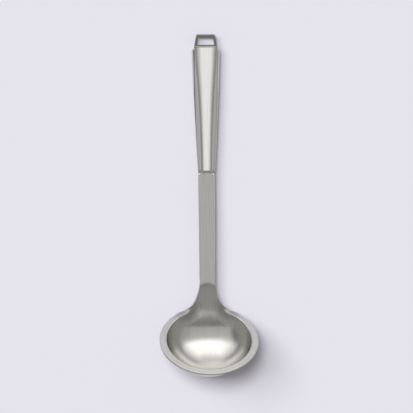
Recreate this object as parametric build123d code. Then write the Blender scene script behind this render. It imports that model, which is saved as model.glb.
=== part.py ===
from build123d import *
import os
from math import asin, atan2, cos, degrees, hypot, pi, radians, sin, sqrt

# A stainless steel soup ladle. The bowl, its lip, the neck and the shank are one pressed
# sheet. The handle is hollow: a front and a back shell, welded along a seam and round the
# shank, closed at the far end by a cap that carries a flat hanging loop.
# Lengths are in millimetres and angles in degrees. The ladle is built with the shank level
# along +Y, then laid down on its bowl and on the back of its handle.

# Bowl: part of a ball, its mouth cut this far short of the ball's centre, with a drooping lip.
bowl_radius = 41.0
mouth_setback = 10.24
bowl_wall = 1.5
bowl_tilt = 47.1
lip_width = 6.4
lip_droop = 16.0
mouth_edge_round = 1.0
lip_edge_swell = 0.45

# Neck: the strip dips from the shank into the mouth, and flares into the lip on both sides.
neck_slope = 18.0
neck_bend_radius = 22.0
neck_run = 20.6
flare_turn = 38.0
flare_start_gap = 0.6
neck_lap = 2.0
lip_pinch = 2.2
flare_sections = 11
flare_crowding_share = 1.35
flare_fall_share = 6.0

# Shank: a flat strip, a little wider at the handle.
sheet = 1.8
shank_length = 101.5
shank_width_at_neck = 14.7
shank_width_at_handle = 15.9

# Tang: the narrow end of the shank, inside the handle.
tang_width = 11.0
tang_length = 22.0
tang_corner_round = 3.0
tang_clearance = 0.1

# Handle: widths and heights from the nose, at the shank, to the hanging end.
handle_length = 117.5
handle_wall = 0.9
handle_width_at_nose = 16.2
handle_width_at_end = 26.6
width_bulge = 0.35
front_height_at_nose = 4.0
front_height_at_end = 6.9
back_height_at_nose = 3.4
back_height_at_end = 6.6
flank_edge_height_at_nose = 1.3
flank_edge_height_at_end = 2.4
flank_bulge_share = 0.16
back_flat_width_at_nose = 8.0
back_flat_width_at_end = 15.0
back_bulge_share = 0.2
shoulder_length = 2.2
shoulder_tuck = 2.4
nose_round = 1.5

# Front panel: a raised, faintly crowned strip between two creases.
panel_width_at_nose = 8.7
panel_width_at_end = 19.7
panel_waist = 2.3
panel_crown = 0.55
crease_width = 0.9
crease_depth = 0.55

# End cap and hanging loop.
cap_thickness = 0.9
cap_inset = 0.2
loop_height = 11.8
loop_top_width = 17.4
loop_foot_width = 21.6
loop_top_bar = 3.0
loop_side_bar = 2.3
loop_foot_bar = 2.0
loop_thickness = 3.2
loop_corner_round = 1.8
loop_eye_round = 0.8
loop_edge_round = 0.5

# Every cutting tool runs past the metal by this much.
overrun = 5.0


# The strip's path, seen from the side: level shank, bend, then the straight neck run.
bend_drop = neck_bend_radius * (1 - cos(radians(neck_slope)))
bend_reach = neck_bend_radius * sin(radians(neck_slope))
mouth_near_y = -bend_reach - neck_run * cos(radians(neck_slope))
mouth_near_z = -bend_drop - neck_run * sin(radians(neck_slope))
mouth_radius = sqrt(bowl_radius**2 - mouth_setback**2)
bowl_axis = Vector(0, sin(radians(bowl_tilt)), cos(radians(bowl_tilt)))
towards_handle = Vector(0, cos(radians(bowl_tilt)), -sin(radians(bowl_tilt)))
mouth_centre = Vector(0, mouth_near_y, mouth_near_z) - towards_handle * mouth_radius
bowl_plane = Plane(origin=mouth_centre, x_dir=(1, 0, 0), z_dir=bowl_axis)


def rounded_edge(top, low, outward):
    """The sheet's polished edge: an arc from its top face to its lower face."""
    return ThreePointArc(top, (top + low) / 2 + outward * lip_edge_swell, low)


def pressed_bowl():
    """The bowl's wall with its lip, still a solid below the mouth, in the bowl's own plane."""
    droop = radians(lip_droop)
    outer = Pos(0, 0, mouth_setback) * Sphere(bowl_radius + bowl_wall)
    above = 2 * (bowl_radius + bowl_wall)
    buried = sheet / 4
    lid = Pos(0, 0, above / 2 - buried) * Box(2 * above, 2 * above, above)
    reach = mouth_radius + lip_width * cos(droop)
    drop = lip_width * sin(droop)
    inner = mouth_radius - lip_width / 2
    lift = (mouth_radius - inner) * sin(droop) / cos(droop)
    top_out = Vector(reach, -drop)
    low_out = Vector(reach - sheet * sin(droop), -drop - sheet * cos(droop))
    top_in = Vector(inner, lift)
    low_in = top_in + (low_out - top_out)
    edge = rounded_edge(top_out, low_out, Vector(cos(droop), -sin(droop)))
    outline = [Line(top_in, top_out), edge, Line(low_out, low_in), Line(low_in, top_in)]
    profile = Plane.XZ * make_face(outline)
    lip = Rot(0, 0, 90 + flare_turn) * revolve(profile, Axis.Z, 360 - 2 * flare_turn)
    return outer - lid + lip


def strip_direction():
    """Up the straight neck run, in the bowl's own plane."""
    rise = radians(bowl_tilt + neck_slope)
    return Vector(0, cos(rise), sin(rise))


def strip_normal():
    """Out of the top face of the straight neck run, in the bowl's own plane."""
    rise = radians(bowl_tilt + neck_slope)
    return Vector(0, -sin(rise), cos(rise))


def strip_sag():
    """How far the mouth's circle lifts the strip's edges above its middle."""
    half = shank_width_at_neck / 2
    return (mouth_radius - sqrt(mouth_radius**2 - half**2)) * strip_normal().Y * -1


def band(plane, width, sag):
    """The strip's cross-section: sheet metal, dished by sag, hanging below the plane's origin."""
    half = width / 2
    top_left = (-half, sag)
    top_right = (half, sag)
    low_right = (half, sag - sheet)
    low_left = (-half, sag - sheet)
    if sag:
        top = ThreePointArc(top_left, (0, 0), top_right)
        bottom = ThreePointArc(low_right, (0, -sheet), low_left)
    else:
        top = Line(top_left, top_right)
        bottom = Line(low_right, low_left)
    return plane * make_face([top, Line(top_right, low_right), bottom, Line(low_left, top_left)])


def neck_strip():
    """The neck between the shank and the bowl, in the ladle's plane."""
    slope = radians(neck_slope)
    run_start = Plane(
        origin=(0, -bend_reach, -bend_drop),
        x_dir=(1, 0, 0),
        z_dir=(0, -cos(slope), -sin(slope)),
    )
    run = extrude(band(run_start, shank_width_at_neck, strip_sag()), neck_run + neck_lap)
    steps = 3
    sections = []
    for step in range(steps + 1):
        turn = slope * step / steps
        dish_share = (1 - cos(pi * step / steps)) / 2
        place = Plane(
            origin=(0, -neck_bend_radius * sin(turn), -neck_bend_radius * (1 - cos(turn))),
            x_dir=(1, 0, 0),
            z_dir=(0, -cos(turn), -sin(turn)),
        )
        sections.append(band(place, shank_width_at_neck, strip_sag() * dish_share))
    return run + loft(sections)


def flare(side):
    """One side of the neck's foot, twisting from the strip's edge into the lip."""
    start = asin(shank_width_at_neck / 2 / mouth_radius)
    end = radians(flare_turn)
    droop = radians(lip_droop)
    first_length = neck_run - flare_start_gap
    sections = []
    for step in range(flare_sections + 1):
        share = (step / flare_sections) ** flare_crowding_share
        turn = start + (end - start) * share
        blend_share = share * share * (3 - 2 * share)
        foot = Vector(mouth_radius * sin(turn), mouth_radius * cos(turn), 0)
        lip_way = Vector(sin(turn) * cos(droop), cos(turn) * cos(droop), -sin(droop))
        way = (strip_direction() * (1 - blend_share) + lip_way * blend_share).normalized()
        along = Vector(1, 0, 0) * (1 - blend_share) + Vector(cos(turn), -sin(turn), 0) * blend_share
        down = way.cross(along).normalized() * sheet
        pinch = lip_pinch * sin(pi * share) ** 2
        length = lip_width + (first_length - lip_width) * (1 - share) ** flare_fall_share - pinch
        top_in = foot - way * neck_lap
        top_out = foot + way * length
        edge = rounded_edge(top_out, top_out + down, way)
        outline = [
            Line(top_in, top_out),
            edge,
            Line(top_out + down, top_in + down),
            Line(top_in + down, top_in),
        ]
        sections.append(make_face(outline))
    body = loft(sections)
    if side < 0:
        body = mirror(body, Plane.YZ)
    return body


def shank():
    """The flat strip from the neck to the nose of the handle, with its tang beyond."""
    near = shank_width_at_neck / 2
    far = shank_width_at_handle / 2
    tang = tang_width / 2
    tip = shank_length + tang_length
    outline = make_face(
        Polyline(
            (-near, 0), (near, 0), (far, shank_length), (tang, shank_length),
            (tang, tip), (-tang, tip), (-tang, shank_length), (-far, shank_length),
            close=True,
        )
    )
    tip_corners = outline.vertices().sort_by(Axis.Y)[-2:]
    outline = fillet(tip_corners, tang_corner_round)
    return extrude(outline, -sheet)


def on_mouth(edge):
    """Whether an edge runs along the mouth, where the bowl's inside meets the lip or neck."""
    for share in (0, 0.5, 1):
        point = bowl_plane.to_local_coords(edge.position_at(share))
        if abs(point.Z) > mouth_edge_round or abs(hypot(point.X, point.Y) - mouth_radius) > bowl_wall / 4:
            return False
    return True


def bowl_and_shank():
    """Bowl, lip, neck, shank and tang, as one sheet."""
    body = bowl_plane * (pressed_bowl() + flare(1) + flare(-1))
    body = body + neck_strip() + shank()
    body = body - bowl_plane * (Pos(0, 0, mouth_setback) * Sphere(bowl_radius))
    return fillet([edge for edge in body.edges() if on_mouth(edge)], mouth_edge_round)


def handle_plane(reach):
    """Across the handle, this far from its nose, with its origin on the seam."""
    return Plane(origin=(0, shank_length + reach, -sheet / 2), x_dir=(1, 0, 0), z_dir=(0, -1, 0))


def along_handle(at_nose, at_end, reach, swell=0):
    """A size that changes evenly from nose to end, with a swell or waist in the middle."""
    share = reach / handle_length
    return at_nose + (at_end - at_nose) * share + swell * sin(pi * share)


def bulged(start, end, bulge_share):
    """An arc between two points, bowed to its left by a share of its length."""
    chord = Vector(*end) - Vector(*start)
    middle = (Vector(*start) + Vector(*end)) / 2
    side = Vector(-chord.Y, chord.X) * bulge_share
    return ThreePointArc(start, middle + side, end)


def front_section(reach, wall=0, tuck=0, foot=0):
    """The front shell's cross-section: flank, crease and panel, down to the seam or below it."""
    half = along_handle(handle_width_at_nose, handle_width_at_end, reach, width_bulge) / 2 - wall - tuck
    panel = along_handle(panel_width_at_nose, panel_width_at_end, reach, -panel_waist) / 2
    top = along_handle(front_height_at_nose, front_height_at_end, reach) - wall
    edge = along_handle(flank_edge_height_at_nose, flank_edge_height_at_end, reach)
    panel_edge = top - panel_crown
    crease = panel_edge - crease_depth
    crease_x = panel + crease_width
    outline = [
        Line((-half, -foot), (half, -foot)),
        Line((half, -foot), (half, edge)),
        bulged((half, edge), (crease_x, crease), -flank_bulge_share),
        Line((crease_x, crease), (panel, panel_edge)),
        ThreePointArc((panel, panel_edge), (0, top), (-panel, panel_edge)),
        Line((-panel, panel_edge), (-crease_x, crease)),
        bulged((-crease_x, crease), (-half, edge), -flank_bulge_share),
        Line((-half, edge), (-half, -foot)),
    ]
    return handle_plane(reach) * make_face(outline)


def back_section(reach, wall=0, tuck=0, head=0):
    """The back shell's cross-section: a flat back between two round corners."""
    half = along_handle(handle_width_at_nose, handle_width_at_end, reach, width_bulge) / 2 - wall - tuck
    flat = along_handle(back_flat_width_at_nose, back_flat_width_at_end, reach) / 2
    low = along_handle(back_height_at_nose, back_height_at_end, reach) - wall
    edge = along_handle(flank_edge_height_at_nose, flank_edge_height_at_end, reach) / 2
    outline = [
        Line((half, head), (-half, head)),
        Line((-half, head), (-half, -edge)),
        bulged((-half, -edge), (-flat, -low), -back_bulge_share),
        Line((-flat, -low), (flat, -low)),
        bulged((flat, -low), (half, -edge), -back_bulge_share),
        Line((half, -edge), (half, head)),
    ]
    return handle_plane(reach) * make_face(outline)


def tapered(section, start, wall=0, spare=0):
    """A shell's solid, or the hollow in it, from start to the shoulders and on to the end."""
    shoulder = handle_length - shoulder_length
    stations = 5
    reaches = [start + (shoulder - start) * station / (stations - 1) for station in range(stations)]
    body = loft([section(reach, wall, 0, spare) for reach in reaches])
    tip = [section(shoulder, wall, 0, spare), section(handle_length, wall, shoulder_tuck, spare)]
    return body + loft(tip, ruled=True)


def shell(section):
    """One half of the hollow handle, open at the seam and at the end, slotted for the tang."""
    hollow = tapered(section, handle_wall, handle_wall, overrun)
    slot_width = tang_width + 2 * tang_clearance
    slot = Pos(0, shank_length, -sheet / 2) * Box(slot_width, 2 * overrun, sheet)
    return tapered(section, 0) - hollow - slot


def handle_front_shell():
    """The front half, with its nose rounded down to the shank."""
    body = shell(front_section)
    top = front_height_at_nose - sheet / 2
    start = shank_length
    cutter = make_face(
        [
            Line((start, top - nose_round), (start - overrun, top - nose_round)),
            Line((start - overrun, top - nose_round), (start - overrun, top + overrun)),
            Line((start - overrun, top + overrun), (start + nose_round, top + overrun)),
            Line((start + nose_round, top + overrun), (start + nose_round, top)),
            RadiusArc((start + nose_round, top), (start, top - nose_round), nose_round),
        ]
    )
    cut = extrude(Plane.YZ * cutter, handle_width_at_nose, both=True)
    return body - cut


def handle_back_shell():
    """The back half, which the ladle rests on."""
    return shell(back_section)


def handle_end_cap():
    """A plate welded over the open end of both shells."""
    front = front_section(handle_length, cap_inset, shoulder_tuck)
    back = back_section(handle_length, cap_inset, shoulder_tuck)
    return extrude(front, -cap_thickness) + extrude(back, -cap_thickness)


def hanging_loop():
    """A flat trapezoid ring, welded on the cap by its foot bar."""
    lean = (loop_foot_width - loop_top_width) / 2 / loop_height
    side_step = loop_side_bar * sqrt(1 + lean**2)

    def half_width(height):
        return loop_foot_width / 2 - lean * height

    def trapezoid(low, high, inset):
        wide = half_width(low) - inset
        narrow = half_width(high) - inset
        return make_face(
            Polyline((-wide, low), (wide, low), (narrow, high), (-narrow, high), close=True)
        )

    ring = trapezoid(0, loop_height, 0)
    ring = fillet(ring.vertices().group_by(Axis.Y)[-1], loop_corner_round)
    eye = trapezoid(loop_foot_bar, loop_height - loop_top_bar, side_step)
    eye = fillet(eye.vertices(), loop_eye_round)
    body = extrude(ring - eye, loop_thickness / 2, both=True)
    faces = body.faces().sort_by(Axis.Z)
    rims = faces[0].edges() + faces[-1].edges()
    body = fillet(rims, loop_edge_round)
    foot = shank_length + handle_length + cap_thickness
    return Pos(0, foot, -sheet / 2) * body


def resting_place():
    """Lays the level ladle down on its bowl and its handle's back, centred over the origin."""
    ball_radius = bowl_radius + bowl_wall
    ball = mouth_centre + bowl_axis * mouth_setback
    heel_y = shank_length + handle_length
    heel_z = -sheet / 2 - back_height_at_end
    across = ball.Y - heel_y
    rise = ball.Z - heel_z
    turn = pi - asin(ball_radius / hypot(across, rise)) - atan2(rise, across)

    def turned_y(y, z):
        return y * cos(turn) - z * sin(turn)

    ground = ball.Y * sin(turn) + ball.Z * cos(turn) - ball_radius
    near_end = turned_y(ball.Y, ball.Z) - ball_radius
    tip_y = heel_y + cap_thickness + loop_height
    far_end = turned_y(tip_y, -sheet / 2 - loop_thickness / 2)
    middle = (near_end + far_end) / 2
    return Pos(0, -middle, -ground) * Rot(degrees(turn), 0, 0)


nodes = {
    "bowl_and_shank": bowl_and_shank,
    "handle_front_shell": handle_front_shell,
    "handle_back_shell": handle_back_shell,
    "handle_end_cap": handle_end_cap,
    "hanging_loop": hanging_loop,
}

place = resting_place()
os.makedirs("parts", exist_ok=True)
for node, make in nodes.items():
    solid = place * make()
    export_step(solid, "parts/" + node + ".step")
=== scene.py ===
from math import cos, pi, radians, sin, sqrt

import bmesh
import bpy
from mathutils import Matrix, Vector


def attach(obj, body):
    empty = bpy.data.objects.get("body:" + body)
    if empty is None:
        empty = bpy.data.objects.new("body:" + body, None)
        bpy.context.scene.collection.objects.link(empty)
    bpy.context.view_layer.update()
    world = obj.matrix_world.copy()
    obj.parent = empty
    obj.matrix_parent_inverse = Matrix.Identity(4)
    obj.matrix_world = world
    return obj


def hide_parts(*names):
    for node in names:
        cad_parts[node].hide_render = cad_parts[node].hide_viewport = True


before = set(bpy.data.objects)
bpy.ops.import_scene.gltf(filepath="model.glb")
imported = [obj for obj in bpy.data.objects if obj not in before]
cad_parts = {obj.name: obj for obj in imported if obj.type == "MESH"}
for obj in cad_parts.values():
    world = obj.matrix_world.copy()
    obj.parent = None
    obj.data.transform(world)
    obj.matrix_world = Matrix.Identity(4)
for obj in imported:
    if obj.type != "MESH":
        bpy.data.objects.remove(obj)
# Blender's own first objects go.
for name in ("Cube", "Light", "Camera"):
    if name in bpy.data.objects:
        bpy.data.objects.remove(bpy.data.objects[name])
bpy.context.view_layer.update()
scene = bpy.context.scene
scene.view_settings.view_transform = "Standard"


# Camera: a long lens high above the ladle, leaning a little in from the ladle's left, with the
# handle's end at the top of the picture.
view_distance = 3.0
view_width = 0.3868
sensor_width = 36
lean = radians(-3.2)
roll = radians(-0.35)
aim = Vector((-0.0004, -0.0008, 0.012))
view_depth = 20

bpy.ops.object.camera_add()
camera = bpy.context.object
camera.name = "camera"
camera.rotation_euler = (0, lean, roll)
camera.location = aim + Vector((sin(lean), 0, cos(lean))) * view_distance
camera.data.sensor_width = sensor_width
camera.data.lens = sensor_width * view_distance / view_width
camera.data.clip_end = view_depth
scene.camera = camera


# Table top: a plain sheet of pale lilac paper that lies flat under the ladle, much larger than
# the picture.
lilac = (0.760, 0.745, 0.807, 1)
table_size = 12

bpy.ops.mesh.primitive_plane_add(size=table_size)
table_top = bpy.context.object
table_top.name = "table_top"
paper = bpy.data.materials.new("lilac_paper")
paper.use_nodes = True
shader = paper.node_tree.nodes["Principled BSDF"]
shader.inputs["Base Color"].default_value = lilac
shader.inputs["Roughness"].default_value = 0.9
shader.inputs["Specular IOR Level"].default_value = 0.1
table_top.data.materials.append(paper)


# Light: two soft lamps from the upper left cast the shadow, a high one and a lower one, and a
# studio room of pale panels shows in the steel. The room is brightest beyond the handle's end
# and darkest to the left.
fill_strength = 0.35
room_strength = 2.2
# The lamps: the name, the strength, the angle that the lamp fills, and the direction to it.
lamps = [
    ("soft_lamp", 1.60, 18, (-0.19, 0.20, 1.0)),
    ("low_side_lamp", 1.05, 30, (-0.70, 0.32, 1.0)),
]
# The walls' brightness by how far a direction points towards the handle's end, from -1 to 1.
room_walls = [
    (-1.0, 0.19), (-0.60, 0.18), (-0.42, 0.155), (-0.32, 0.125), (-0.20, 0.12), (-0.14, 0.26),
    (-0.08, 0.285), (0.0, 0.285), (0.20, 0.30), (0.40, 0.34), (0.75, 0.38), (1.0, 0.39),
]
# The walls are darker to the far left and a little to the right.
wall_sides = [(-1.0, 0.2), (-0.96, 0.25), (-0.84, 1.0), (0.30, 1.0), (0.75, 0.90), (1.0, 0.70)]
# The bright panel beyond the handle's end adds to the walls. It fades towards both sides, and
# near the horizon.
bright_panel = [
    (0.29, 0.0), (0.37, 0.06), (0.44, 0.28), (0.51, 0.52), (0.61, 0.55), (0.69, 0.43),
    (0.77, 0.41), (0.86, 0.38), (0.93, 0.20), (1.0, 0.04),
]
panel_sides = [
    (-1.0, 0.30), (-0.8, 0.55), (-0.6, 0.80), (-0.4, 1.0), (-0.2, 1.0), (0.4, 1.0),
    (0.6, 0.90), (0.8, 0.84), (1.0, 0.65),
]
panel_height = [(-1.0, 0.25), (0.0, 0.25), (0.20, 0.60), (0.34, 1.0), (1.0, 1.0)]
# The room is a little warm: how much red, green and blue it gives.
room_tint = (1.0, 0.995, 0.985)

# The steel shows the room and not the lamps.
for name, strength, angle, direction in lamps:
    bpy.ops.object.light_add(type="SUN")
    lamp = bpy.context.object
    lamp.name = name
    lamp.data.energy = strength
    lamp.data.angle = radians(angle)
    lamp.rotation_euler = Vector(direction).to_track_quat("Z", "Y").to_euler()
    lamp.visible_glossy = False


def node(tree, kind, sources=None, **settings):
    """Adds a node to a tree of nodes, sets it up, and joins or fills its inputs."""
    made = tree.nodes.new(kind)
    for setting, value in settings.items():
        setattr(made, setting, value)
    for socket, source in (sources or {}).items():
        if hasattr(source, "is_output"):
            tree.links.new(source, made.inputs[socket])
        else:
            made.inputs[socket].default_value = source
    return made


def rise(tree, value, start, end, low=0.0, high=1.0, **settings):
    """A value that goes from low to high while another goes from start to end."""
    sockets = {"Value": value, "From Min": start, "From Max": end, "To Min": low, "To Max": high}
    return node(tree, "ShaderNodeMapRange", sockets, **settings).outputs["Result"]


def mixed(tree, kind, first, second, share=1.0):
    """Two colours, mixed, multiplied or added."""
    # The colour sockets share their names with others, so they go by number.
    sockets = {0: share, 6: first, 7: second}
    return node(tree, "ShaderNodeMix", sockets, data_type="RGBA", blend_type=kind).outputs[2]


world = bpy.data.worlds.new("studio_room")
scene.world = world
world.use_nodes = True
studio = world.node_tree
studio.nodes.clear()
towards = node(studio, "ShaderNodeTexCoord").outputs["Generated"]
parts = node(studio, "ShaderNodeSeparateXYZ", {"Vector": towards})


def level_along(axis, stops):
    """The room's brightness along one axis of a direction, by stops between -1 and 1."""
    ramp = node(studio, "ShaderNodeValToRGB", {"Fac": rise(studio, parts.outputs[axis], -1, 1)})
    marks = ramp.color_ramp.elements
    marks[0].position = 0
    marks[1].position = 1
    # All the marks are made first, then put in their places, and then given their brightness.
    for _ in stops[2:]:
        marks.new(0.5)
    for mark, (place, bright) in zip(marks, stops):
        mark.position = (place + 1) / 2
    for mark, (place, bright) in zip(marks, stops):
        mark.color = (*(bright * share for share in room_tint), 1)
    return ramp.outputs["Color"]


walls = mixed(studio, "MULTIPLY", level_along("Y", room_walls), level_along("X", wall_sides))
above = mixed(studio, "MULTIPLY", level_along("Y", bright_panel), level_along("Z", panel_height))
panel = mixed(studio, "MULTIPLY", above, level_along("X", panel_sides))
room = node(
    studio, "ShaderNodeBackground",
    {"Color": mixed(studio, "ADD", walls, panel), "Strength": room_strength},
).outputs[0]
fill = node(studio, "ShaderNodeBackground", {"Strength": fill_strength}).outputs[0]
backdrop = node(studio, "ShaderNodeBackground", {"Color": lilac}).outputs[0]
seen = node(studio, "ShaderNodeLightPath")
in_steel = node(
    studio, "ShaderNodeMixShader", {"Fac": seen.outputs["Is Glossy Ray"], 1: fill, 2: room},
).outputs[0]
in_view = node(
    studio, "ShaderNodeMixShader", {"Fac": seen.outputs["Is Camera Ray"], 1: in_steel, 2: backdrop},
).outputs[0]
node(studio, "ShaderNodeOutputWorld", {"Surface": in_view})


# Bowl and shank: one pressed and drawn sheet of stainless steel. The bowl is part of a ball
# with a drooping lip, the lip turns up into the neck, and the neck runs on as the flat shank,
# whose narrow tang is hidden in the handle. It is made level, then laid down as it rests.
bowl_radius = 41.0
mouth_setback = 10.24
bowl_tilt = radians(47.1)
wall = 1.5
sheet = 1.8
edge_round = 0.6
ball_segments = 100
ball_rings = 31
rest_angle = radians(1.3843)
rest_place = Vector((0, -71.931, 12.789))
mouth_radius = sqrt(bowl_radius**2 - mouth_setback**2)
mouth_near = Vector((0, -26.390, -7.443))
mouth_centre = mouth_near - Vector((0, cos(bowl_tilt), -sin(bowl_tilt))) * mouth_radius
mouth_normal = Vector((0, sin(bowl_tilt), cos(bowl_tilt)))

# The lip in steps from the mouth: how far out, how far down, and the share of its width.
lip_steps = [(2.6, 0.30, 0.42), (5.6, 0.95, 0.86), (6.42, 2.05, 1.0)]
lip_sharpness = 0.4
lip_width = 6.5

# The neck leaves the mouth along its middle columns, and turns into the lip over the next ones.
column_angle = 2 * pi / ball_segments
neck_columns = 3
neck_turn = neck_columns * column_angle
flare_columns = 10
flare_turn = radians(38)
flare_fade = 6
neck_rise = bowl_tilt + radians(18)
neck_run = 21.5
lip_pinch = 2.2
lip_fall = 0.20
twist_start = 0.34
twist_end = 0.72
# Rows of the bend and the shank: the middle's place along the ladle and its height, half the
# row's width, and how far the row's ends stand above its middle.
shank_rows = [
    (-4.2, -0.36, 7.41, 0.50),
    (-2.5, -0.06, 7.38, 0.30),
    (-0.8, 0.11, 7.36, 0.10),
    (1.0, 0.18, 7.35, 0.0),
    (4.0, 0.19, 7.37, 0.0),
    (30.0, 0.15, 7.53, 0.0),
    (65.0, 0.08, 7.74, 0.0),
    (97.0, 0.0, 7.92, 0.0),
    (101.4, 0.0, 7.95, 0.0),
]
tang_half_width = 5.5
tang_length = 22.0
# The sheet has its full thickness from this far outside the ball.
sheet_start = 0.4
# A point this near to a place is taken as the one that lies there.
near = 0.3
# The pieces' sizes are in millimetres, and this brings them to the frame's metres.
metres = 0.001


def pick(mode, test):
    """Selects the parts of the open mesh that pass the test, and nothing else."""
    bpy.ops.mesh.select_mode(type=mode)
    bpy.ops.mesh.select_all(action="DESELECT")
    shape = bmesh.from_edit_mesh(bpy.context.edit_object.data)
    chosen = {"VERT": shape.verts, "EDGE": shape.edges, "FACE": shape.faces}[mode]
    for part in chosen:
        if test(part):
            part.select_set(True)
    shape.select_flush_mode()
    bmesh.update_edit_mesh(bpy.context.edit_object.data)


def picked():
    """The places of the open mesh's selected points."""
    shape = bmesh.from_edit_mesh(bpy.context.edit_object.data)
    return [vert.co.copy() for vert in shape.verts if vert.select]


def finish_with(piece, kind, **settings):
    """Adds a modifier to a piece and applies it."""
    modifier = piece.modifiers.new(kind.lower(), kind)
    for setting, value in settings.items():
        setattr(modifier, setting, value)
    bpy.context.view_layer.objects.active = piece
    bpy.ops.object.modifier_apply(modifier=modifier.name)


def lay_down(piece):
    """Turns a level piece to the angle the ladle rests at, sets it in place, and goes to metres."""
    bpy.ops.object.select_all(action="DESELECT")
    piece.select_set(True)
    bpy.context.view_layer.objects.active = piece
    bpy.ops.object.mode_set(mode="EDIT")
    bpy.ops.mesh.select_all(action="SELECT")
    bpy.ops.transform.rotate(value=rest_angle, orient_axis="X", center_override=(0, 0, 0))
    bpy.ops.transform.translate(value=rest_place)
    bpy.ops.transform.resize(value=(metres, metres, metres), center_override=(0, 0, 0))
    bpy.ops.object.mode_set(mode="OBJECT")


bpy.ops.object.select_all(action="DESELECT")
bpy.ops.mesh.primitive_uv_sphere_add(
    segments=ball_segments, ring_count=ball_rings, radius=bowl_radius,
    location=(0, 0, mouth_setback), rotation=(0, 0, pi / 2),
)
ladle = bpy.context.object
ladle.name = "pressed_bowl_and_shank"
bpy.ops.object.transform_apply(location=True, rotation=True, scale=True)
bpy.ops.object.mode_set(mode="EDIT")
pick("VERT", lambda vert: vert.co.z > near)
bpy.ops.mesh.delete(type="VERT")
bpy.ops.mesh.select_all(action="SELECT")
bpy.ops.mesh.flip_normals()

# The lip: nearly level, with its outer edge curled down.
pick("EDGE", lambda edge: edge.is_boundary)
before = (0.0, 0.0)
for out, drop, share in lip_steps:
    bpy.ops.mesh.extrude_region_move(
        TRANSFORM_OT_translate={"value": (0, 0, before[1] - drop)}
    )
    growth = (mouth_radius + out) / (mouth_radius + before[0])
    bpy.ops.transform.resize(value=(growth, growth, 1), center_override=(0, 0, 0))
    before = (out, drop)

# Away from the neck its two bends stay crisp: at the mouth, and where the edge curls down.
for out, drop, share in ((0, 0, 0), lip_steps[1]):
    pick("EDGE", lambda edge: all(
        abs(vert.co.z + drop) < near and abs(vert.co.xy.length - mouth_radius - out) < near
        and vert.co.y < mouth_radius * cos(flare_turn) for vert in edge.verts
    ))
    bpy.ops.transform.edge_crease(value=lip_sharpness)


def neck_path(turn):
    """From the mouth out to the sheet's edge, where the neck and its flares take the lip's place."""
    share = min(max((abs(turn) - neck_turn) / (flare_turn - neck_turn), 0), 1)
    twist = min(max((share - twist_start) / (twist_end - twist_start), 0), 1)
    blend = twist**2 * (3 - 2 * twist)
    up_neck = Vector((0, cos(neck_rise), sin(neck_rise)))
    along_lip = Vector((sin(turn), cos(turn), -lip_fall)).normalized()
    drawn_up = (neck_run - lip_width) * (1 - share)**flare_fade
    pinched = lip_pinch * sin(pi * share)**2
    reach = lip_width + drawn_up - pinched
    if share == 0:
        reach += mouth_radius * (1 - cos(turn)) * up_neck.y
    return up_neck.lerp(along_lip, blend).normalized() * reach


# The columns nearest the handle are drawn up into the neck and its flares.
for column in range(-flare_columns, flare_columns + 1):
    turn = column * column_angle
    radial = Vector((sin(turn), cos(turn), 0))
    for out, drop, share in lip_steps:
        spot = radial * (mouth_radius + out) - Vector((0, 0, drop))
        goal = radial * mouth_radius + neck_path(turn) * share
        pick("VERT", lambda vert: (vert.co - spot).length < near)
        bpy.ops.transform.translate(value=goal - spot)

# Tilted, as it hangs from the level shank.
bpy.ops.mesh.select_all(action="SELECT")
bpy.ops.transform.rotate(value=bowl_tilt, orient_axis="X", center_override=(0, 0, 0))
bpy.ops.transform.translate(value=mouth_centre)

# The bend and the shank, drawn out of the neck row by row.
neck_end = mouth_near.y + neck_run * cos(neck_rise - bowl_tilt)
pick("EDGE", lambda edge: all(abs(vert.co.y - neck_end) < near for vert in edge.verts))
row = picked()
centre = min(row, key=lambda point: abs(point.x))
end = max(row, key=lambda point: point.x)
size = Vector((end.x, 1, end.z - centre.z))
for along, height, half, dish in shank_rows:
    bpy.ops.mesh.extrude_region_move(
        TRANSFORM_OT_translate={"value": (0, along - centre.y, height - centre.z)}
    )
    centre = Vector((0, along, height))
    goal = Vector((half, 1, dish))
    ratio = [new / old if old else 1 for new, old in zip(goal, size)]
    bpy.ops.transform.resize(value=ratio, center_override=centre)
    size = goal

bpy.ops.object.mode_set(mode="OBJECT")
finish_with(ladle, "SUBSURF", levels=2, render_levels=2)

# The tang, then the sheet's thickness, a little less in the drawn bowl, and its round edges.
bpy.ops.object.mode_set(mode="EDIT")
shank_end = shank_rows[-1][0]
pick("EDGE", lambda edge: edge.is_boundary and all(
    vert.co.y > shank_end - near and abs(vert.co.x) < tang_half_width + near for vert in edge.verts
))
bpy.ops.mesh.extrude_region_move(TRANSFORM_OT_translate={"value": (0, tang_length, 0)})
bpy.ops.object.mode_set(mode="OBJECT")
ball_centre = mouth_centre + mouth_normal * mouth_setback
full_sheet = ladle.vertex_groups.new(name="full_sheet")
full_sheet.add(
    [vert.index for vert in ladle.data.vertices
     if (vert.co - ball_centre).length > bowl_radius + sheet_start],
    1.0, "ADD",
)
finish_with(
    ladle, "SOLIDIFY", thickness=sheet, offset=-1, use_even_offset=True,
    use_quality_normals=True, vertex_group="full_sheet", thickness_vertex_group=wall / sheet,
)
finish_with(
    ladle, "BEVEL", width=edge_round, segments=3, limit_method="ANGLE", angle_limit=radians(50),
)
bpy.ops.object.shade_smooth()
lay_down(ladle)


# The steel's finishes share two effects: the fine grain that brushing or spinning leaves, and
# the faint cloudy marks of washing and handling.
streak_limits = (0.3, 0.7)
cloud_limits = (0.35, 0.75)
scratch_depth = 0.1 * metres


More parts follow.
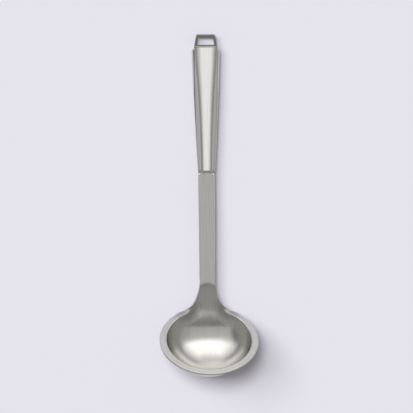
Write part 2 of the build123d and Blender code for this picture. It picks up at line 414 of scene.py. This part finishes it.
def effect(name, inputs, outputs):
    """A new node group with its own named inputs and outputs."""
    group = bpy.data.node_groups.new(name, "ShaderNodeTree")
    for socket, kind, value in inputs:
        made = group.interface.new_socket(socket, in_out="INPUT", socket_type=kind)
        if value is not None:
            made.default_value = value
    for socket in outputs:
        group.interface.new_socket(socket, in_out="OUTPUT", socket_type="NodeSocketFloat")
    return group, group.nodes.new("NodeGroupInput"), group.nodes.new("NodeGroupOutput")


brushed_grain, given, result = effect(
    "brushed_grain",
    [("Place", "NodeSocketVector", None), ("Across", "NodeSocketFloat", 3000.0),
     ("Along", "NodeSocketFloat", 40.0)],
    ["Streak", "Height"],
)
stretch = node(
    brushed_grain, "ShaderNodeCombineXYZ",
    {"X": given.outputs["Across"], "Y": given.outputs["Along"], "Z": given.outputs["Along"]},
).outputs[0]
stretched = node(
    brushed_grain, "ShaderNodeVectorMath", {0: given.outputs["Place"], 1: stretch},
    operation="MULTIPLY",
).outputs[0]
scratches = node(
    brushed_grain, "ShaderNodeTexNoise",
    {"Vector": stretched, "Scale": 1.0, "Detail": 3.0, "Roughness": 0.65},
).outputs["Fac"]
brushed_grain.links.new(scratches, result.inputs["Height"])
streak = rise(brushed_grain, scratches, *streak_limits)
brushed_grain.links.new(streak, result.inputs["Streak"])

handling_marks, given, result = effect(
    "handling_marks",
    [("Place", "NodeSocketVector", None), ("Size", "NodeSocketFloat", 60.0)],
    ["Cloud"],
)
clouds = node(
    handling_marks, "ShaderNodeTexNoise",
    {"Vector": given.outputs["Place"], "Scale": given.outputs["Size"], "Detail": 4.0,
     "Roughness": 0.6},
).outputs["Fac"]
handling_marks.links.new(rise(handling_marks, clouds, *cloud_limits), result.inputs["Cloud"])


def steel(name, dark, light, smooth, rough, across, along, bump):
    """Stainless steel: its darkest and lightest streaks, its gloss, and how its grain runs."""
    material = bpy.data.materials.new(name)
    material.use_nodes = True
    tree = material.node_tree
    place = node(tree, "ShaderNodeTexCoord").outputs["Object"]
    grain = node(
        tree, "ShaderNodeGroup", {"Place": place, "Across": across, "Along": along},
        node_tree=brushed_grain,
    )
    marks = node(tree, "ShaderNodeGroup", {"Place": place}, node_tree=handling_marks)
    streaks = mixed(tree, "MIX", dark, light, grain.outputs["Streak"])
    relief = node(
        tree, "ShaderNodeBump",
        {"Height": grain.outputs["Height"], "Strength": bump, "Distance": scratch_depth},
    ).outputs["Normal"]
    surface = tree.nodes["Principled BSDF"]
    surface.inputs["Metallic"].default_value = 1.0
    tree.links.new(streaks, surface.inputs["Base Color"])
    tree.links.new(
        rise(tree, marks.outputs["Cloud"], 0, 1, smooth, rough), surface.inputs["Roughness"],
    )
    tree.links.new(relief, surface.inputs["Normal"])
    return material


def shaded(material, shade):
    """Paints shade into a steel's colour, by a value that changes over the surface."""
    colour = material.node_tree.nodes["Principled BSDF"].inputs["Base Color"]
    darker = mixed(material.node_tree, "MULTIPLY", colour.links[0].from_socket, shade)
    material.node_tree.links.new(darker, colour)


pressed_steel = steel(
    "pressed_steel", dark=(0.56, 0.555, 0.535, 1), light=(0.66, 0.655, 0.635, 1),
    smooth=0.17, rough=0.23, across=2500, along=30, bump=0.04,
)

# The bowl's steel is the same, but duller in the corners beside the neck, where no polishing
# wheel reaches, and on the lip. Its colour is darkened too in the corners and on the lip's far
# side: painted shade, which dims the bright reflections there. The lip is found by its distance
# from the ball's middle. It turns dull over the first heights, and takes the painted shade over
# the second.
neck_corner = Vector((19.0, 99.5, 9.0)) * metres
corner_reach = 17.5 * metres
corner_core = 5.0 * metres
corner_dullness = 0.34
painted_corner_shade = 0.65
lip_start = (bowl_radius + 1.7) * metres
lip_full = (bowl_radius + 3.0) * metres
lip_dullness = 0.20
dull_heights = (12 * metres, 20 * metres)
painted_shade_heights = (36 * metres, 58 * metres)
painted_far_shade = 0.76

bowl_steel = pressed_steel.copy()
bowl_steel.name = "pressed_bowl_steel"
tree = bowl_steel.node_tree


def combined(tree, kind, first, second):
    """Two values, multiplied, added or compared."""
    return node(tree, "ShaderNodeMath", {0: first, 1: second}, operation=kind).outputs[0]


place = node(tree, "ShaderNodeTexCoord").outputs["Object"]
one_side = node(tree, "ShaderNodeVectorMath", {0: place}, operation="ABSOLUTE").outputs[0]
from_corner = node(
    tree, "ShaderNodeVectorMath", {0: one_side, 1: neck_corner}, operation="DISTANCE",
).outputs["Value"]
in_corner = rise(
    tree, from_corner, corner_reach, corner_core, 0, corner_dullness,
    interpolation_type="SMOOTHSTEP",
)
# A matrix turns the other way from the edit that lays the piece down.
laid_down = Matrix.Rotation(-rest_angle, 3, "X")
ball_place = (laid_down @ ball_centre + rest_place) * metres
from_ball = node(
    tree, "ShaderNodeVectorMath", {0: place, 1: ball_place}, operation="DISTANCE",
).outputs["Value"]
on_lip = rise(tree, from_ball, lip_start, lip_full, 0, lip_dullness)
height = node(tree, "ShaderNodeSeparateXYZ", {"Vector": place}).outputs["Z"]
dull_lip = combined(tree, "MULTIPLY", on_lip, rise(tree, height, *dull_heights))
duller = combined(tree, "MAXIMUM", in_corner, dull_lip)
gloss = tree.nodes["Principled BSDF"].inputs["Roughness"]
tree.links.new(combined(tree, "ADD", gloss.links[0].from_socket, duller), gloss)
far_lip = combined(tree, "MULTIPLY", on_lip, rise(tree, height, *painted_shade_heights))
# Painted shade: the colour is darkened in the neck's corners and on the lip's far side.
painted_corner_tone = rise(tree, in_corner, 0, corner_dullness, 1, painted_corner_shade)
painted_far_tone = rise(tree, far_lip, 0, lip_dullness, 1, painted_far_shade)
shaded(bowl_steel, combined(tree, "MULTIPLY", painted_corner_tone, painted_far_tone))
ladle.data.materials.clear()
ladle.data.materials.append(bowl_steel)
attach(ladle, "root")
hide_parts("bowl_and_shank")


# Front of the handle: a pressed shell of stainless steel. A faintly crowned panel stands between
# two creases, the flanks fall from them in two facets, and the shoulders are cut in at the end.
# It is welded to the back shell along the seam and to the shank round the nose.
nose_place = 101.5
seam_height = -0.9
handle_wall = 0.9
# Stations from the nose: place, half width, half the panel's width, height of the panel's
# middle, height of the flank's edge, and how far the panel stands up out of the flanks.
front_stations = [
    (0.0, 7.95, 4.4, 2.9, 1.2, 0.0),
    (0.4, 8.1, 4.4, 3.55, 1.3, 0.0),
    (1.0, 8.15, 4.4, 3.70, 1.3, 0.0),
    (1.4, 8.16, 4.4, 3.72, 1.3, 0.0),
    (2.0, 8.19, 4.4, 4.02, 1.31, 1.0),
    (3.2, 8.25, 4.4, 4.06, 1.33, 1.0),
    (20.0, 9.17, 4.62, 4.49, 1.49, 1.0),
    (40.0, 10.20, 5.25, 4.99, 1.67, 1.0),
    (60.0, 11.18, 6.10, 5.48, 1.86, 1.0),
    (80.0, 12.10, 7.25, 5.97, 2.05, 1.0),
    (100.0, 12.80, 8.95, 6.47, 2.24, 1.0),
    (114.6, 13.22, 9.75, 6.83, 2.37, 1.0),
    (115.6, 13.12, 9.78, 6.85, 2.38, 1.0),
    (117.4, 10.98, 9.85, 6.88, 2.40, 1.0),
]
panel_crown = 1.1
panel_step = 0.25
panel_start = 2.0
shoulder = 2.0
# The crown's fall from the panel's middle, as shares of the whole: some way across, where the
# shoulder starts, and some way in from the shoulder's end.
crown_place = 0.35
crown_fall = 0.06
shoulder_start_fall = 0.22
shoulder_place = 0.45
shoulder_fall = 0.56
# The creases: a groove with a narrow floor, and a rounded edge on the flank's side.
crease_depth = 0.75
crease_reach = 0.60
crease_floor = 0.06
crease_slope = 0.03
crease_edge = 0.2
crease_edge_drops = (0.06, 0.10)
# The flanks: an inner and an outer facet with a narrow ledge between, and the rounded edge.
outer_facet = 1.75
outer_facet_share = 0.40
ledge_drop_share = 0.30
ledge_reach = 0.25
ledge_drops = (0.28, 0.32)
edge_reach = 0.35
edge_rise = 0.45
edge_drop = 0.3
shell_edge = 0.12
# A point of an outline this near to its place is taken as the one that lies there.
exact = 0.001


def front_profile(half, panel, top, edge, stand):
    """Half of the front shell's outline across the handle, from its middle to the seam."""
    middle = top - (1 - stand) * panel_step
    side = panel - crease_reach
    flank_top = top - panel_crown - panel_step
    groove = flank_top - crease_depth * stand
    ledge = half - min(outer_facet, (half - panel) * outer_facet_share)
    ledge_height = flank_top - ledge_drop_share * (flank_top - edge)
    return [
        (0.0, middle),
        (panel * crown_place, middle - panel_crown * crown_fall),
        (side - shoulder, middle - panel_crown * shoulder_start_fall),
        (side - shoulder * shoulder_place, middle - panel_crown * shoulder_fall),
        (side, middle - panel_crown),
        (panel - crease_floor, groove + crease_slope),
        (panel + crease_floor, groove),
        (panel + crease_reach, flank_top - crease_edge_drops[0]),
        (panel + crease_reach + crease_edge, flank_top - crease_edge_drops[1]),
        (ledge - ledge_reach, ledge_height),
        (ledge, ledge_height - ledge_drops[0]),
        (ledge + ledge_reach, ledge_height - ledge_drops[1]),
        (half - edge_reach, edge + edge_rise),
        (half, edge - edge_drop),
        (half, 0.0),
    ]


def draw_out(name, stations, profile):
    """Draws a half outline point by point, then draws it out along the handle by stations."""
    bpy.ops.object.select_all(action="DESELECT")
    bpy.ops.mesh.primitive_plane_add(size=1)
    piece = bpy.context.object
    piece.name = name
    bpy.ops.object.mode_set(mode="EDIT")
    bpy.ops.mesh.select_mode(type="VERT")
    # The plane shrinks to the one point that the outline is drawn from.
    bpy.ops.mesh.merge(type="CENTER")
    last = Vector((0, 0, 0))
    for across, height in profile(*stations[0][1:]):
        goal = Vector((across, nose_place + stations[0][0], seam_height + height))
        if last.length == 0:
            bpy.ops.transform.translate(value=goal)
        else:
            bpy.ops.mesh.extrude_region_move(TRANSFORM_OT_translate={"value": goal - last})
        last = goal
    for before, station in zip(stations, stations[1:]):
        row_place = nose_place + before[0]
        pick("EDGE", lambda edge: all(abs(vert.co.y - row_place) < exact for vert in edge.verts))
        bpy.ops.mesh.extrude_region_move(
            TRANSFORM_OT_translate={"value": (0, station[0] - before[0], 0)}
        )
        olds = profile(*before[1:])
        news = profile(*station[1:])
        new_place = nose_place + station[0]
        for old, new in zip(olds, news):
            spot = Vector((old[0], new_place, seam_height + old[1]))
            pick("VERT", lambda vert: (vert.co - spot).length < exact)
            bpy.ops.transform.translate(value=(new[0] - old[0], 0, new[1] - old[1]))
    bpy.ops.object.mode_set(mode="OBJECT")
    return piece


front_shell = draw_out("handle_front", front_stations, front_profile)
# The panel's steel is painted nearly white, a painted sheen.
panel_steel = steel(
    "brushed_panel_steel_painted_sheen", dark=(0.92, 0.915, 0.905, 1), light=(0.98, 0.975, 0.965, 1),
    smooth=0.62, rough=0.68, across=2200, along=25, bump=0.10,
)
# The matt panel scatters part of the light. Its nearly white colour is a painted sheen for the
# panel's bright reflection, and it darkens into the polished steel at its creases as painted shade.
panel_metal = 0.7
painted_crease_shade_shares = (0.47, 0.93)
painted_crease_shade = 0.40
tree = panel_steel.node_tree
tree.nodes["Principled BSDF"].inputs["Metallic"].default_value = panel_metal
across_panel = node(tree, "ShaderNodeAttribute", attribute_name="across_panel").outputs["Fac"]
shaded(panel_steel, rise(tree, across_panel, *painted_crease_shade_shares, 1, painted_crease_shade))
front_shell.data.materials.append(pressed_steel)
front_shell.data.materials.append(panel_steel)


def half_panel(reach):
    """Half the panel's width, this far from the nose."""
    for before, station in zip(front_stations, front_stations[1:]):
        if reach <= station[0]:
            share = max(reach - before[0], 0) / (station[0] - before[0])
            return before[2] + (station[2] - before[2]) * share
    return front_stations[-1][2]


def on_panel(face):
    """Whether a face of the half shell lies on the raised panel."""
    spot = face.calc_center_median()
    reach = spot.y - nose_place
    return reach > panel_start and spot.x < half_panel(reach) - crease_reach


# Only the panel is brushed and has the painted sheen: its nose and the flanks are polished like the
# shank.
bpy.ops.object.mode_set(mode="EDIT")
pick("FACE", on_panel)
front_shell.active_material_index = 1
bpy.ops.object.material_slot_assign()
bpy.ops.object.mode_set(mode="OBJECT")


def finish_shell(shell):
    """Mirrors and smooths a half shell, then gives it its wall and its eased edges."""
    finish_with(shell, "MIRROR", use_axis=(True, False, False), merge_threshold=0.01)
    bpy.ops.object.mode_set(mode="EDIT")
    bpy.ops.mesh.select_all(action="SELECT")
    bpy.ops.mesh.normals_make_consistent(inside=False)
    bpy.ops.object.mode_set(mode="OBJECT")
    finish_with(shell, "SUBSURF", levels=2, render_levels=2)
    finish_with(shell, "SOLIDIFY", thickness=handle_wall, offset=-1)
    finish_with(
        shell, "BEVEL", width=shell_edge, segments=2, limit_method="ANGLE",
        angle_limit=radians(60),
    )
    bpy.ops.object.shade_smooth()


finish_shell(front_shell)
# How far across the panel each point lies: 0 in its middle and 1 in its creases.
shares = front_shell.data.attributes.new("across_panel", "FLOAT", "POINT")
shares.data.foreach_set("value", [
    abs(vert.co.x) / half_panel(vert.co.y - nose_place) for vert in front_shell.data.vertices
])
lay_down(front_shell)
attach(front_shell, "root")
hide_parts("handle_front_shell")


# Back of the handle: the other pressed shell, with a flat back between round corners, which
# the ladle rests on. Its edge meets the front shell's along the seam.
back_stations = [
    (0.0, 7.85, 3.9, 3.1),
    (0.6, 8.1, 4.0, 3.4),
    (2.0, 8.2, 4.05, 3.45),
    (20.0, 9.17, 4.6, 3.94),
    (40.0, 10.20, 5.2, 4.49),
    (60.0, 11.18, 5.8, 5.03),
    (80.0, 12.10, 6.4, 5.58),
    (100.0, 12.80, 7.0, 6.12),
    (114.6, 13.22, 7.4, 6.52),
    (115.6, 13.12, 7.45, 6.55),
    (117.4, 10.98, 7.45, 6.60),
]
# The flat back's edge, and the round corner beside it, as shares of their widths and the depth.
flat_shares = (0.6, 0.95)
flat_ease = 0.02
corner_shares = [(0.38, 0.86), (0.74, 0.60)]
side_inset = 0.25
side_share = 0.30
seam_edge = 0.35
seam_gap = 0.02


def back_profile(half, flat, low):
    """Half of the back shell's outline across the handle, from its middle to the seam."""
    corner = [(flat + (half - flat) * out, -low * down) for out, down in corner_shares]
    return [
        (0.0, -low),
        (flat * flat_shares[0], -low),
        (flat * flat_shares[1], -low + flat_ease),
        *corner,
        (half - side_inset, -low * side_share),
        (half, -seam_edge),
        (half, -seam_gap),
    ]


back_shell = draw_out("handle_back", back_stations, back_profile)
finish_shell(back_shell)
lay_down(back_shell)
back_shell.data.materials.append(pressed_steel)
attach(back_shell, "root")
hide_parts("handle_back_shell")


# End cap: a cut steel plate welded over the handle's open end. Its outline is the packed
# model's own, with the edges eased as a polished weld leaves them.
cap_edge = 0.18 * metres
same_place = exact * metres
flat_angle = radians(4)
sharp_angle = radians(40)


def eased_copy(name, source, width=0):
    """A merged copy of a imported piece, its flat faces whole, and its edges rounded by a width."""
    bpy.ops.object.select_all(action="DESELECT")
    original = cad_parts[source]
    piece = original.copy()
    piece.data = original.data.copy()
    piece.name = name
    scene.collection.objects.link(piece)
    piece.parent = None
    piece.matrix_world = original.matrix_world
    piece.select_set(True)
    bpy.context.view_layer.objects.active = piece
    bpy.ops.object.transform_apply(location=True, rotation=True, scale=True)
    bpy.ops.object.mode_set(mode="EDIT")
    bpy.ops.mesh.select_all(action="SELECT")
    bpy.ops.mesh.remove_doubles(threshold=same_place)
    bpy.ops.mesh.dissolve_limited(angle_limit=flat_angle)
    bpy.ops.object.mode_set(mode="OBJECT")
    if width:
        finish_with(
            piece, "BEVEL", width=width, segments=3, limit_method="ANGLE",
            angle_limit=sharp_angle,
        )
    bpy.ops.object.shade_smooth_by_angle(angle=sharp_angle)
    piece.data.materials.clear()
    return piece


end_cap = eased_copy("welded_end_cap", "handle_end_cap", cap_edge)
end_cap.data.materials.append(pressed_steel)
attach(end_cap, "root")
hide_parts("handle_end_cap")


# Hanging loop: a flat closed trapezoid of unpolished steel, welded on the end cap by its foot bar,
# so that it doesn't turn. Its colour is painted dark, as painted shade for the dark reflections it
# shows.
loop_ring = eased_copy("welded_hanging_loop", "hanging_loop")
loop_steel = steel(
    "unpolished_loop_steel_painted_shade", dark=(0.19, 0.19, 0.187, 1), light=(0.26, 0.26, 0.255, 1),
    smooth=0.34, rough=0.42, across=2200, along=60, bump=0.08,
)
loop_ring.data.materials.append(loop_steel)
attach(loop_ring, "root")
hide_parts("hanging_loop")
